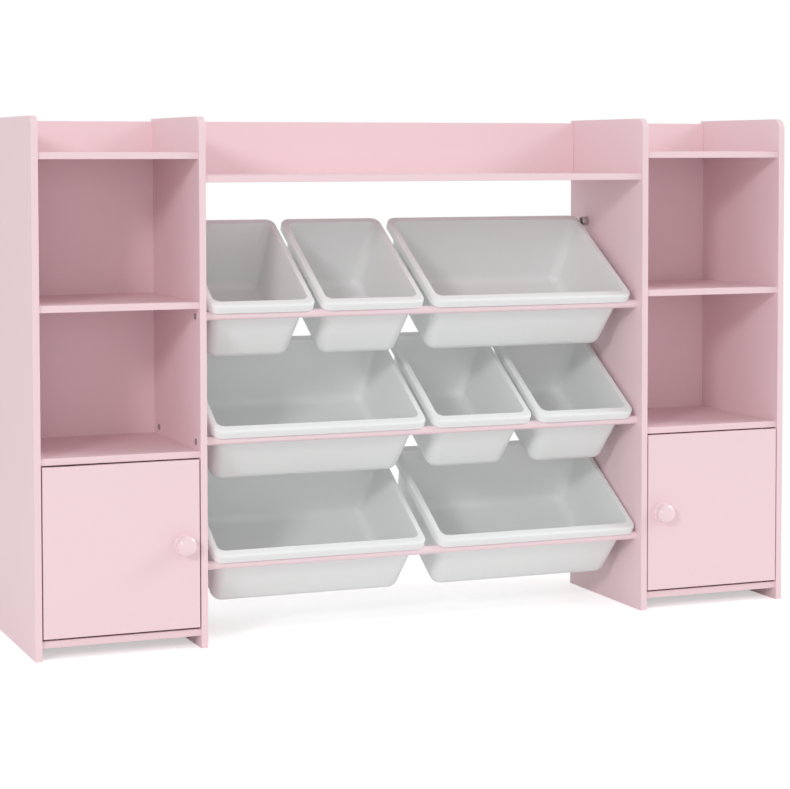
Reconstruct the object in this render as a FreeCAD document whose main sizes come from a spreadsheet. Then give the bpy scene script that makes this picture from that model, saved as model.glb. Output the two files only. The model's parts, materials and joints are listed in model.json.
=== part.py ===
import FreeCAD, Part
import Sketcher
import math
import os

# Children's toy organizer: two side cabinets with a door each, joined by a centre bay whose
# rods carry three rows of tilted, lift-off bins.
# Millimetres.  +X along the width, +Y to the back, +Z up, origin at the bottom centre of
# the box round the whole object (the door knobs stand out in front of the panels).

SIZES = {
    # boards and bays
    "board_thickness": 12,
    "panel_depth": 298,
    "side_bay_width": 277,
    "toe_height": 21.2,
    "cabinet_clear_height": 295.3,
    "cubby_clear_height": 243.5,
    "gallery_height": 60.5,
    "top_corner_radius": 20,
    "shelf_recess": 6,
    "back_panel_drop": 5,
    "centre_shelf_drop": 112.5,
    "edge_round": 0.8,
    # doors
    "door_thickness": 12,
    "door_side_gap": 2.3,
    "door_top_gap": 2.3,
    "door_bottom_gap": 4,
    "pivot_inset": 25,
    "pivot_setback": 9.2,
    "pivot_pin_radius": 1.5,
    "pivot_pin_in_door": 18,
    "pivot_bush_wall": 0.7,
    "pivot_bush_depth": 9,
    "pivot_bush_floor": 1.5,
    "pivot_end_clearance": 0.1,
    "running_clearance": 0.05,
    # knobs
    "knob_projection": 26,
    "knob_edge_distance": 28,
    "knob_base_radius": 15.5,
    "knob_base_height": 5,
    "knob_neck_radius": 9,
    "knob_head_radius": 17,
    "knob_head_half_thickness": 8.5,
    "knob_screw_radius": 2,
    "knob_screw_bite": 12,
    "knob_screw_head_radius": 4.5,
    "knob_screw_head_height": 2.4,
    # magnetic catches
    "catch_width": 40,
    "catch_depth": 14,
    "catch_height": 12,
    "catch_side_offset": 12,
    "catch_gap": 0.4,
    "strike_width": 30,
    "strike_height": 14,
    "strike_thickness": 1.2,
    "strike_drop": 3,
    # rods of the centre bay: one under the front lips and one under the floors of each row
    "row_pitch": 216,
    "rod_radius": 7.5,
    "front_rod_setback": 26,
    "rear_rod_back_distance": 41,
    "rear_rod_bin_clearance": 0.4,
    "rod_bolt_clearance": 7.9,
    "rod_bolt_radius": 3,
    "rod_bolt_bite": 30,
    "rod_bolt_head_radius": 5.5,
    "rod_bolt_head_height": 1.2,
    # hollow stop beside the top row
    "stop_radius": 8.5,
    "stop_wall": 1.5,
    "stop_length": 12.5,
    "stop_floor": 2,
    "stop_rear_distance": 23,
    "stop_screw_radius": 1.6,
    "stop_screw_bite": 9,
    "stop_screw_head_radius": 3.5,
    "stop_screw_head_height": 1.6,
    # bins
    "bin_tilt": 31,
    "bin_length": 278,
    "small_bin_width": 195,
    "large_bin_width": 398,
    "bin_height": 134,
    "bin_wall": 2.3,
    "lip_depth": 15,
    "side_rim_width": 11,
    "rim_corner": 18,
    "mouth_corner": 14,
    "floor_corner": 20,
    "floor_inset": 14,
    "floor_round": 20,
    "rim_crown": 4.2,
    "mouth_round": 1,
    "rod_seat_offset": 6,
    "rod_seat_clearance": 0.4,
    "rod_tub_clearance": 0.2,
    # room beside the bins, from a panel, from the stop or from one bin to the next
    "row_play": 41,
    "top_left_room": 9.2,
    "top_middle_room": 11.8,
    "top_right_room": 1,
    "middle_left_room": 15.7,
    "middle_middle_room": 13.5,
    "middle_right_room": 8.6,
    "bottom_left_room": 15.3,
    "bottom_right_room": 3.2,
    # cam fittings, dowels and screws that join the boards
    "cam_radius": 6,
    "cam_height": 9,
    "cam_from_end": 24,
    "cam_bolt_radius": 2.5,
    "cam_bolt_head_radius": 3.2,
    "cam_bolt_head_height": 3,
    "cam_bolt_in_panel": 8,
    "cam_front_setback": 45,
    "cam_rear_distance": 46,
    "dowel_radius": 3,
    "dowel_in_panel": 8,
    "dowel_in_board": 20,
    "dowel_setback": 140,
    "back_screw_radius": 1.75,
    "back_screw_bite": 22,
    "back_screw_head_radius": 3.5,
    "back_screw_head_height": 2,
    "back_screw_end_distance": 62,
    "fitting_clearance": 0.1,
}

doc = FreeCAD.newDocument("toy_organizer")
sheet = doc.addObject("Spreadsheet::Sheet", "Sizes")
for row, (alias, value) in enumerate(SIZES.items(), start=1):
    sheet.set(f"A{row}", alias)
    sheet.set(f"B{row}", str(value))
    sheet.setAlias(f"B{row}", alias)
doc.recompute()


def size(alias):
    """Expression that reads one driving dimension."""
    return f"Sizes.{alias}"


def add(*terms):
    """Expression for the sum of several terms."""
    return " + ".join(f"({term})" for term in terms)


def less(first, *others):
    """Expression for the first term less the others."""
    return " - ".join(f"({term})" for term in (first,) + others)


# ---------------------------------------------------------------- places in the object
BOARD = size("board_thickness")
DEPTH = size("panel_depth")
SIDE_BAY = size("side_bay_width")
SMALL_BIN = size("small_bin_width")
LARGE_BIN = size("large_bin_width")
CENTRE_BAY = add(f"max(2 * {LARGE_BIN}; {LARGE_BIN} + 2 * {SMALL_BIN})", size("row_play"))
TOTAL_WIDTH = f"(4 * {BOARD} + 2 * {SIDE_BAY} + {CENTRE_BAY})"
FRONT = f"(({size('knob_projection')} - {DEPTH}) / 2)"
BACK = add(FRONT, DEPTH)
BACK_PANEL_FACE = less(BACK, BOARD)

LEFT_OUTER = f"(-{TOTAL_WIDTH} / 2)"
LEFT_BAY = add(LEFT_OUTER, BOARD)
LEFT_INNER = add(LEFT_BAY, SIDE_BAY)
CENTRE_BAY_LEFT = add(LEFT_INNER, BOARD)
RIGHT_INNER = add(CENTRE_BAY_LEFT, CENTRE_BAY)
RIGHT_BAY = add(RIGHT_INNER, BOARD)
RIGHT_OUTER = add(RIGHT_BAY, SIDE_BAY)
PANEL_PLACES = {
    "left_outer_panel": LEFT_OUTER,
    "left_inner_panel": LEFT_INNER,
    "right_inner_panel": RIGHT_INNER,
    "right_outer_panel": RIGHT_OUTER,
}

BOTTOM_LEVEL = size("toe_height")
CABINET_FLOOR = add(BOTTOM_LEVEL, BOARD)
CABINET_TOP_LEVEL = add(CABINET_FLOOR, size("cabinet_clear_height"))
MIDDLE_LEVEL = add(CABINET_TOP_LEVEL, BOARD, size("cubby_clear_height"))
TOP_LEVEL = add(MIDDLE_LEVEL, BOARD, size("cubby_clear_height"))
PANEL_HEIGHT = add(TOP_LEVEL, BOARD, size("gallery_height"))
CENTRE_SHELF_LEVEL = less(PANEL_HEIGHT, size("centre_shelf_drop"))
SIDE_LEVELS = {
    "cabinet_bottom": BOTTOM_LEVEL,
    "cabinet_top": CABINET_TOP_LEVEL,
    "middle_shelf": MIDDLE_LEVEL,
    "top_shelf": TOP_LEVEL,
}

# The rim plane of every bin slopes up to the back.  "along" runs up the slope from the
# rim's front edge and "above" stands square to it.  The lips rest on the front rod, just
# behind the front one, but for the seat's clearance.
TILT_COS = f"cos({size('bin_tilt')})"
TILT_SIN = f"sin({size('bin_tilt')})"
ROD_BELOW = add(size("lip_depth"), size("rod_radius"), size("rod_seat_clearance"))
FRONT_ROD_Y = add(FRONT, size("front_rod_setback"))
BIN_FRONT_Y = less(FRONT_ROD_Y, f"{size('rod_seat_offset')} * {TILT_COS}",
                   f"({ROD_BELOW}) * {TILT_SIN}")
BIN_FRONT_RISE = less(f"({ROD_BELOW}) * {TILT_COS}", f"{size('rod_seat_offset')} * {TILT_SIN}")

# The middle rear rod's bolts clear the cabinet tops, and the bins' floors clear the rods.
REAR_ROD_Y = less(BACK, size("rear_rod_back_distance"))
MIDDLE_REAR_ROD_HEIGHT = add(CABINET_TOP_LEVEL, BOARD, size("rod_bolt_clearance"),
                             size("rod_bolt_head_radius"))
REAR_ROD_BELOW = add(size("bin_height"), size("rear_rod_bin_clearance"), size("rod_radius"))
REAR_ROD_RISE = less(add(BIN_FRONT_RISE, f"({less(REAR_ROD_Y, BIN_FRONT_Y)}) * {TILT_SIN}"
                                         f" / {TILT_COS}"), f"({REAR_ROD_BELOW}) / {TILT_COS}")
MIDDLE_ROD_HEIGHT = less(MIDDLE_REAR_ROD_HEIGHT, REAR_ROD_RISE)
ROW_HEIGHTS = {
    "bottom": less(MIDDLE_ROD_HEIGHT, size("row_pitch")),
    "middle": MIDDLE_ROD_HEIGHT,
    "top": add(MIDDLE_ROD_HEIGHT, size("row_pitch")),
}

NEAR = 1e-4
TURNED = {
    "x": FreeCAD.Rotation(FreeCAD.Vector(0, 1, 0), 90),
    "y": FreeCAD.Rotation(FreeCAD.Vector(1, 0, 0), -90),
    "z": FreeCAD.Rotation(),
}


# ---------------------------------------------------------------- helpers for solids
def place(obj, x, y, z):
    for axis, term in zip("xyz", (x, y, z)):
        obj.setExpression(f".Placement.Base.{axis}", term)
    return obj


def cylinder(name, along, radius, length, x, y, z):
    """Round bar that runs from the point x, y, z in the +x, +y or +z direction."""
    bar = doc.addObject("Part::Cylinder", name)
    bar.Placement = FreeCAD.Placement(FreeCAD.Vector(), TURNED[along])
    bar.setExpression("Radius", radius)
    bar.setExpression("Height", length)
    return place(bar, x, y, z)


def block(name, width, depth, height, x, y, z):
    solid = doc.addObject("Part::Box", name)
    solid.setExpression("Length", width)
    solid.setExpression("Width", depth)
    solid.setExpression("Height", height)
    return place(solid, x, y, z)


def fused(name, solids):
    joined = doc.addObject("Part::MultiFuse", name)
    joined.Shapes = solids
    return joined


def group(name, solids):
    together = doc.addObject("Part::Compound", name)
    together.Links = solids
    return together


def copy_of(blank, name):
    """Another piece made to the same drawing, with a placement of its own."""
    return group(name, [blank])


def drilled(name, blank, tools):
    """The blank with every tool cut out of it."""
    finished = doc.addObject("Part::Cut", name)
    finished.Base = blank
    finished.Tool = tools[0] if len(tools) == 1 else group(name + "_tools", tools)
    return finished


def origin_plane(body, role):
    return next(item for item in body.Origin.OriginFeatures if item.Role == role)


def attach(sketch, body, role):
    sketch.AttachmentSupport = [(origin_plane(body, role), "")]
    sketch.MapMode = "FlatFace"


def dimension(sketch, constraint, name, expression):
    index = sketch.addConstraint(constraint)
    sketch.renameConstraint(index, name)
    sketch.setExpression("Constraints." + name, expression)


def rectangle_sketch(body, name, role, width, height):
    """Rectangle with one corner at the body's origin."""
    sketch = body.newObject("Sketcher::SketchObject", name)
    attach(sketch, body, role)
    across, up = 100.0, 50.0
    corners = [(0, 0), (across, 0), (across, up), (0, up)]
    points = [FreeCAD.Vector(x, y, 0) for x, y in corners]
    for start, end in zip(points, points[1:] + points[:1]):
        sketch.addGeometry(Part.LineSegment(start, end), False)
    for line in range(4):
        sketch.addConstraint(Sketcher.Constraint("Coincident", line, 2, (line + 1) % 4, 1))
    for line in (0, 2):
        sketch.addConstraint(Sketcher.Constraint("Horizontal", line))
    for line in (1, 3):
        sketch.addConstraint(Sketcher.Constraint("Vertical", line))
    sketch.addConstraint(Sketcher.Constraint("Coincident", 0, 1, -1, 1))
    dimension(sketch, Sketcher.Constraint("DistanceX", 0, 1, 0, 2, across), "across", width)
    dimension(sketch, Sketcher.Constraint("DistanceY", 1, 1, 1, 2, up), "up", height)
    return sketch


def rounded_sketch(body, name, width, length, corner, drop="0"):
    """Rounded rectangle in the rim plane, or drop below it, centred across the bin and
    halfway along it."""
    sketch = body.newObject("Sketcher::SketchObject", name)
    attach(sketch, body, "XY_Plane")
    sketch.setExpression("AttachmentOffset.Base.z", f"-({drop})")
    half_width, half_length, radius = 100.0, 75.0, 10.0
    middle = 2 * half_length
    inner_x, inner_y = half_width - radius, half_length - radius
    lines = [((-inner_x, -half_length), (inner_x, -half_length)),
             ((half_width, -inner_y), (half_width, inner_y)),
             ((inner_x, half_length), (-inner_x, half_length)),
             ((-half_width, inner_y), (-half_width, -inner_y))]
    for start, end in lines:
        sketch.addGeometry(Part.LineSegment(FreeCAD.Vector(start[0], start[1] + middle, 0),
                                            FreeCAD.Vector(end[0], end[1] + middle, 0)), False)
    centres = [(inner_x, -inner_y), (inner_x, inner_y), (-inner_x, inner_y), (-inner_x, -inner_y)]
    for quarter, (x, y) in enumerate(centres):
        circle = Part.Circle(FreeCAD.Vector(x, y + middle, 0), FreeCAD.Vector(0, 0, 1), radius)
        begin = math.radians(90 * (quarter - 1))
        sketch.addGeometry(Part.ArcOfCircle(circle, begin, begin + math.pi / 2), False)
    for side in range(4):
        arc = 4 + side
        sketch.addConstraint(Sketcher.Constraint("Tangent", side, 2, arc, 1))
        sketch.addConstraint(Sketcher.Constraint("Tangent", arc, 2, (side + 1) % 4, 1))
    sketch.addConstraint(Sketcher.Constraint("Vertical", 1))
    sketch.addConstraint(Sketcher.Constraint("Horizontal", 2))
    sketch.addConstraint(Sketcher.Constraint("Vertical", 3))
    for arc in (5, 6, 7):
        sketch.addConstraint(Sketcher.Constraint("Equal", 4, arc))
    sketch.addConstraint(Sketcher.Constraint("Symmetric", 0, 1, 0, 2, -2))
    dimension(sketch, Sketcher.Constraint("Radius", 4, radius), "corner", corner)
    dimension(sketch, Sketcher.Constraint("DistanceX", 6, 3, 5, 3, 2 * inner_x), "span_x",
              f"({width}) - 2 * ({corner})")
    dimension(sketch, Sketcher.Constraint("DistanceY", 4, 3, 5, 3, 2 * inner_y), "span_y",
              f"({length}) - 2 * ({corner})")
    dimension(sketch, Sketcher.Constraint("DistanceY", -1, 1, 4, 3, middle - inner_y), "rise",
              f"{size('bin_length')} / 2 - ({length}) / 2 + ({corner})")
    return sketch


def edges_at(shape, test):
    """Names of the edges whose every sampled point passes the test."""
    names = []
    for number, edge in enumerate(shape.Edges, start=1):
        points = edge.discretize(5)
        if all(test(point) for point in points):
            names.append(f"Edge{number}")
    return names


def fillet(body, name, radius, test):
    doc.recompute()
    base = body.Tip
    feature = body.newObject("PartDesign::Fillet", name)
    feature.Base = (base, edges_at(base.Shape, test))
    feature.setExpression("Radius", radius)
    return feature


def pad(body, name, profile, length, downward=False):
    feature = body.newObject("PartDesign::Pad", name)
    feature.Profile = profile
    feature.setExpression("Length", length)
    feature.Reversed = downward
    return feature


def board_body(name, width, depth, thickness):
    """Flat board with its long front edges eased, lying in its own XY plane."""
    body = doc.addObject("PartDesign::Body", name)
    pad(body, name + "_pad", rectangle_sketch(body, name + "_outline", "XY_Plane", width, depth),
        thickness)
    doc.recompute()
    top = body.Tip.Shape.BoundBox.ZMax
    fillet(body, name + "_eased", size("edge_round"),
           lambda point: abs(point.y) < NEAR and not NEAR < point.z < top - NEAR)
    return body


# ---------------------------------------------------------------- joints between the boards
panel_tools = {name: [] for name in PANEL_PLACES}
board_tools = {}
cam_bolts = []
cam_nuts = []
board_dowels = []
FIT = size("fitting_clearance")


def join_board_end(board, panel, panel_face, side, underside):
    """Two cam fittings and a dowel where a board's end meets a panel's face.  side is +1
    where the board lies to the right of the face and -1 where it lies to the left."""
    tools = board_tools.setdefault(board, [])
    mid_level = add(underside, f"{BOARD} / 2")
    end = f"{board}_{'left' if side > 0 else 'right'}_end"

    def start(panel_part, board_part):
        return less(panel_face, panel_part if side > 0 else board_part)

    for place_name, y in (("front", add(FRONT, size("cam_front_setback"))),
                          ("rear", less(BACK_PANEL_FACE, size("cam_rear_distance")))):
        name = f"{end}_{place_name}"
        in_panel = size("cam_bolt_in_panel")
        in_board = less(size("cam_from_end"), size("cam_bolt_head_radius"))
        shank = cylinder(name + "_bolt_shank", "x", size("cam_bolt_radius"),
                         add(in_panel, in_board), start(in_panel, in_board), y, mid_level)
        head_start = (add(panel_face, in_board) if side > 0
                      else less(panel_face, in_board, size("cam_bolt_head_height")))
        head = cylinder(name + "_bolt_head", "x", size("cam_bolt_head_radius"),
                        size("cam_bolt_head_height"), head_start, y, mid_level)
        cam_bolts.append(fused(name + "_bolt", [shank, head]))
        bore_length = add(size("cam_from_end"), size("cam_bolt_head_height"))
        bore_radius = add(size("cam_bolt_head_radius"), FIT)
        tools.append(cylinder(name + "_bolt_bore", "x", bore_radius, bore_length,
                              start("0", bore_length), y, mid_level))
        panel_tools[panel].append(cylinder(
            name + "_panel_bore", "x", size("cam_bolt_radius"), in_panel,
            start(in_panel, "0"), y, mid_level))
        cam_x = (add(panel_face, size("cam_from_end")) if side > 0
                 else less(panel_face, size("cam_from_end")))
        tools.append(cylinder(name + "_cam_pocket", "z", add(size("cam_radius"), FIT),
                              add(size("cam_height"), FIT), cam_x, y, underside))
        disc = cylinder(name + "_cam_disc", "z", size("cam_radius"), size("cam_height"),
                        cam_x, y, underside)
        slot = cylinder(name + "_cam_slot", "x", bore_radius, bore_length,
                        start("0", bore_length), y, mid_level)
        cam_nuts.append(drilled(name + "_cam", disc, [slot]))

    y = add(FRONT, size("dowel_setback"))
    length = add(size("dowel_in_panel"), size("dowel_in_board"))
    dowel_start = start(size("dowel_in_panel"), size("dowel_in_board"))
    board_dowels.append(cylinder(end + "_dowel", "x", size("dowel_radius"), length,
                                 dowel_start, y, mid_level))
    for bucket, suffix in ((tools, "_dowel_bore"), (panel_tools[panel], "_dowel_socket")):
        bucket.append(cylinder(end + suffix, "x", size("dowel_radius"), length,
                               dowel_start, y, mid_level))


# ---------------------------------------------------------------- screws
def screw(name, along, side, radius, bite, head_radius, head_height, x, y, z):
    """Screw whose head's underside sits at x, y, z.  side is +1 where it points along the
    axis and -1 where it points back."""
    position = {"x": x, "y": y, "z": z}
    seat = position[along]
    shank_start = seat if side > 0 else less(seat, bite)
    head_start = less(seat, head_height) if side > 0 else seat
    shank = cylinder(name + "_shank", along, radius, bite, **{**position, along: shank_start})
    head = cylinder(name + "_head", along, head_radius, head_height,
                    **{**position, along: head_start})
    return fused(name, [shank, head])


back_screws = []


def screw_back_board(back_tools, shelf, shelf_left, shelf_width, shelf_level):
    """Two screws through a back board into the rear edge of a shelf."""
    level = add(shelf_level, f"{BOARD} / 2")
    distance = size("back_screw_end_distance")
    for end, x in (("left", add(shelf_left, distance)),
                   ("right", less(add(shelf_left, shelf_width), distance))):
        name = f"{shelf}_{end}_back_screw"
        seat = less(BACK, size("back_screw_head_height"))
        bite = less(add(BOARD, size("back_screw_bite")), size("back_screw_head_height"))
        back_screws.append(screw(name, "y", -1, size("back_screw_radius"), bite,
                                 size("back_screw_head_radius"),
                                 size("back_screw_head_height"), x, seat, level))
        back_tools.append(cylinder(name + "_hole", "y", size("back_screw_radius"), BOARD,
                                   x, BACK_PANEL_FACE, level))
        back_tools.append(cylinder(name + "_recess", "y",
                                   add(size("back_screw_head_radius"), FIT),
                                   size("back_screw_head_height"), x, seat, level))
        board_tools.setdefault(shelf, []).append(
            cylinder(name + "_pilot", "y", size("back_screw_radius"), size("back_screw_bite"),
                     x, less(BACK_PANEL_FACE, size("back_screw_bite")), level))


# ---------------------------------------------------------------- sub-parts
sub_parts = {}


SHELF_DEPTH = less(DEPTH, BOARD, size("shelf_recess"))
SHELF_FRONT = add(FRONT, size("shelf_recess"))
side_shelf_drawing = board_body("side_shelf_drawing", SIDE_BAY, SHELF_DEPTH, BOARD)
centre_shelf_drawing = board_body("centre_shelf_drawing", CENTRE_BAY, SHELF_DEPTH, BOARD)


def make_back_board(name, left, width, bottom):
    top = less(PANEL_HEIGHT, size("back_panel_drop"))
    return block(name + "_blank", width, BOARD, less(top, bottom), left, BACK_PANEL_FACE, bottom)


def make_side_cabinet(hand, left, left_panel, right_panel):
    """Four shelves and a back board between an outer and an inner panel."""
    back_name = hand + "_back_panel"
    back_tools = []
    right_face = add(left, SIDE_BAY)
    for board, level in SIDE_LEVELS.items():
        name = f"{hand}_{board}"
        blank = place(copy_of(side_shelf_drawing, name + "_blank"), left, SHELF_FRONT, level)
        join_board_end(name, left_panel, left, 1, level)
        join_board_end(name, right_panel, right_face, -1, level)
        screw_back_board(back_tools, name, left, SIDE_BAY, level)
        if board in ("cabinet_top", "cabinet_bottom"):
            board_tools[name] += pivot_bores(hand, board, level)
        sub_parts[name] = drilled(name, blank, board_tools[name])
    back = make_back_board(back_name, left, SIDE_BAY, BOTTOM_LEVEL)
    sub_parts[back_name] = drilled(back_name, back, back_tools)


def make_centre_shelf():
    name = "centre_top_shelf"
    back_name = "centre_back_board"
    back_tools = []
    blank = place(copy_of(centre_shelf_drawing, name + "_blank"), CENTRE_BAY_LEFT,
                  SHELF_FRONT, CENTRE_SHELF_LEVEL)
    join_board_end(name, "left_inner_panel", CENTRE_BAY_LEFT, 1, CENTRE_SHELF_LEVEL)
    join_board_end(name, "right_inner_panel", RIGHT_INNER, -1, CENTRE_SHELF_LEVEL)
    screw_back_board(back_tools, name, CENTRE_BAY_LEFT, CENTRE_BAY, CENTRE_SHELF_LEVEL)
    sub_parts[name] = drilled(name, blank, board_tools[name])
    back = make_back_board(back_name, CENTRE_BAY_LEFT, CENTRE_BAY, CENTRE_SHELF_LEVEL)
    sub_parts[back_name] = drilled(back_name, back, back_tools)


def panel_body(name):
    """Upright panel with a rounded top front corner and eased edges."""
    body = doc.addObject("PartDesign::Body", name)
    outline = rectangle_sketch(body, name + "_outline", "YZ_Plane", DEPTH, PANEL_HEIGHT)
    pad(body, name + "_pad", outline, BOARD)
    doc.recompute()
    top = body.Tip.Shape.BoundBox.ZMax
    fillet(body, name + "_corner", size("top_corner_radius"),
           lambda point: abs(point.y) < NEAR and abs(point.z - top) < NEAR)
    doc.recompute()
    box = body.Tip.Shape.BoundBox
    fillet(body, name + "_eased", size("edge_round"),
           lambda point: not NEAR < point.x < box.XMax - NEAR
           and point.z > NEAR and point.y < box.YMax - NEAR)
    return body


def pivot_x(hand):
    if hand == "left":
        return add(LEFT_BAY, size("door_side_gap"), size("pivot_inset"))
    return less(add(RIGHT_BAY, SIDE_BAY), size("door_side_gap"), size("pivot_inset"))


DOOR_BOTTOM = add(CABINET_FLOOR, size("door_bottom_gap"))
DOOR_TOP = less(CABINET_TOP_LEVEL, size("door_top_gap"))
DOOR_WIDTH = less(SIDE_BAY, f"2 * {size('door_side_gap')}")
DOOR_HEIGHT = less(DOOR_TOP, DOOR_BOTTOM)
DOOR_BACK = add(FRONT, size("door_thickness"))
PIVOT_Y = add(FRONT, size("pivot_setback"))
BUSH_RADIUS = add(size("pivot_pin_radius"), size("running_clearance"), size("pivot_bush_wall"))
BUSH_BORE_DEPTH = less(size("pivot_bush_depth"), size("pivot_bush_floor"))
PIN_IN_BUSH = less(BUSH_BORE_DEPTH, size("pivot_end_clearance"))


def pivot_bores(hand, board, level):
    """Blind bore for a pivot bush in a cabinet's top or bottom board."""
    start = level if board == "cabinet_top" else less(CABINET_FLOOR, size("pivot_bush_depth"))
    return [cylinder(f"{hand}_{board}_bush_bore", "z", BUSH_RADIUS, size("pivot_bush_depth"),
                     pivot_x(hand), PIVOT_Y, start)]


def make_pivot_bushes(hand):
    """Blind bushes let into the cabinet boards.  The door stands on the lower one's floor."""
    x = pivot_x(hand)
    bore_radius = add(size("pivot_pin_radius"), size("running_clearance"))
    bushes = []
    for end, bush_start, bore_start in (
            ("lower", less(CABINET_FLOOR, size("pivot_bush_depth")),
             less(CABINET_FLOOR, BUSH_BORE_DEPTH)),
            ("upper", CABINET_TOP_LEVEL, CABINET_TOP_LEVEL)):
        name = f"{hand}_{end}_bush"
        blank = cylinder(name + "_blank", "z", BUSH_RADIUS, size("pivot_bush_depth"),
                         x, PIVOT_Y, bush_start)
        bore = cylinder(name + "_bore", "z", bore_radius, BUSH_BORE_DEPTH,
                        x, PIVOT_Y, bore_start)
        bushes.append(drilled(name, blank, [bore]))
    sub_parts[hand + "_pivot_bushes"] = group(hand + "_pivot_bushes", bushes)


def door_body(name):
    """Door board with the edges of its front face eased."""
    body = doc.addObject("PartDesign::Body", name)
    outline = rectangle_sketch(body, name + "_outline", "XZ_Plane", DOOR_WIDTH, DOOR_HEIGHT)
    pad(body, name + "_pad", outline, size("door_thickness"), downward=True)
    fillet(body, name + "_eased", size("edge_round"), lambda point: abs(point.y) < NEAR)
    return body


def make_door(hand):
    """Inset door with its pivot pins, knob, knob screw and strike plate."""
    name = hand + "_door"
    x = pivot_x(hand)
    outward = 1 if hand == "left" else -1
    bay = LEFT_BAY if hand == "left" else RIGHT_BAY
    door_left = add(bay, size("door_side_gap"))
    board = place(copy_of(door_drawing, name + "_blank"), door_left, FRONT, DOOR_BOTTOM)

    tools = []
    pins = []
    lower_start = less(CABINET_FLOOR, PIN_IN_BUSH)
    upper_start = less(DOOR_TOP, size("pivot_pin_in_door"))
    for end, pin_start, gap, hole_start in (
            ("lower", lower_start, size("door_bottom_gap"), DOOR_BOTTOM),
            ("upper", upper_start, size("door_top_gap"), upper_start)):
        pin_length = add(size("pivot_pin_in_door"), gap, PIN_IN_BUSH)
        pins.append(cylinder(f"{hand}_{end}_pivot_pin", "z", size("pivot_pin_radius"),
                             pin_length, x, PIVOT_Y, pin_start))
        tools.append(cylinder(f"{name}_{end}_pin_hole", "z", size("pivot_pin_radius"),
                              size("pivot_pin_in_door"), x, PIVOT_Y, hole_start))
    sub_parts[hand + "_pivot_pins"] = group(hand + "_pivot_pins", pins)

    free_edge = add(door_left, DOOR_WIDTH) if hand == "left" else door_left
    knob_x = add(free_edge, f"{-outward} * {size('knob_edge_distance')}")
    knob_z = add(DOOR_BOTTOM, f"({DOOR_HEIGHT}) / 2")
    tools.append(cylinder(name + "_screw_hole", "y", add(size("knob_screw_radius"), FIT),
                          size("door_thickness"), knob_x, FRONT, knob_z))
    sub_parts[name] = drilled(name, board, tools)
    make_knob(hand, knob_x, knob_z)
    sub_parts[hand + "_knob_screw"] = screw(
        hand + "_knob_screw", "y", -1, size("knob_screw_radius"),
        add(size("door_thickness"), size("knob_screw_bite")), size("knob_screw_head_radius"),
        size("knob_screw_head_height"), knob_x, DOOR_BACK, knob_z)

    catch_edge = add(free_edge, f"{-outward} * {size('catch_side_offset')}")
    catch_left = less(catch_edge, size("catch_width")) if outward > 0 else catch_edge
    strike_left = add(catch_left, f"({size('catch_width')} - {size('strike_width')}) / 2")
    strike_bottom = less(DOOR_TOP, size("strike_drop"), size("strike_height"))
    sub_parts[hand + "_strike_plate"] = block(
        hand + "_strike_plate", size("strike_width"), size("strike_thickness"),
        size("strike_height"), strike_left, DOOR_BACK, strike_bottom)
    catch_front = add(DOOR_BACK, size("strike_thickness"), size("catch_gap"))
    sub_parts[hand + "_magnet_catch"] = block(
        hand + "_magnet_catch", size("catch_width"), size("catch_depth"),
        size("catch_height"), catch_left, catch_front,
        less(CABINET_TOP_LEVEL, size("catch_height")))


def make_knob(hand, x, z):
    """Turned knob: a flared base, a neck and a domed head."""
    name = hand + "_knob"
    head_centre = less(size("knob_projection"), size("knob_head_half_thickness"))
    base = doc.addObject("Part::Cone", name + "_base")
    base.Placement = FreeCAD.Placement(FreeCAD.Vector(), FreeCAD.Rotation(
        FreeCAD.Vector(1, 0, 0), 90))
    base.setExpression("Radius1", size("knob_base_radius"))
    base.setExpression("Radius2", size("knob_neck_radius"))
    base.setExpression("Height", size("knob_base_height"))
    place(base, x, FRONT, z)
    neck = cylinder(name + "_neck", "y", size("knob_neck_radius"), head_centre,
                    x, less(FRONT, head_centre), z)
    head = doc.addObject("Part::Ellipsoid", name + "_head")
    head.setExpression("Radius1", size("knob_head_radius"))
    head.setExpression("Radius2", size("knob_head_radius"))
    head.setExpression("Radius3", size("knob_head_half_thickness"))
    place(head, x, less(FRONT, head_centre), z)
    pilot = cylinder(name + "_pilot", "y", size("knob_screw_radius"), size("knob_screw_bite"),
                     x, less(FRONT, size("knob_screw_bite")), z)
    sub_parts[name] = drilled(name, fused(name + "_blank", [base, neck, head]), [pilot])


# ---------------------------------------------------------------- rods and the side stop
rod_bolts = []


def make_bolted_rod(name, y, z):
    """Painted rod between the inner panels, held by a bolt through each panel."""
    blank = cylinder(name + "_blank", "x", size("rod_radius"), CENTRE_BAY,
                     CENTRE_BAY_LEFT, y, z)
    tools = []
    bite = size("rod_bolt_bite")
    through = add(BOARD, bite)
    for panel, side, seat in (("left_inner_panel", 1, LEFT_INNER),
                              ("right_inner_panel", -1, RIGHT_BAY)):
        bolt = f"{name}_{panel}_bolt"
        rod_bolts.append(screw(bolt, "x", side, size("rod_bolt_radius"), through,
                               size("rod_bolt_head_radius"), size("rod_bolt_head_height"),
                               seat, y, z))
        panel_start = LEFT_INNER if side > 0 else RIGHT_INNER
        panel_tools[panel].append(cylinder(bolt + "_panel_hole", "x",
                                           add(size("rod_bolt_radius"), FIT), BOARD,
                                           panel_start, y, z))
        rod_start = CENTRE_BAY_LEFT if side > 0 else less(RIGHT_INNER, bite)
        tools.append(cylinder(bolt + "_rod_hole", "x", size("rod_bolt_radius"), bite,
                              rod_start, y, z))
    sub_parts[name] = drilled(name, blank, tools)


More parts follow.
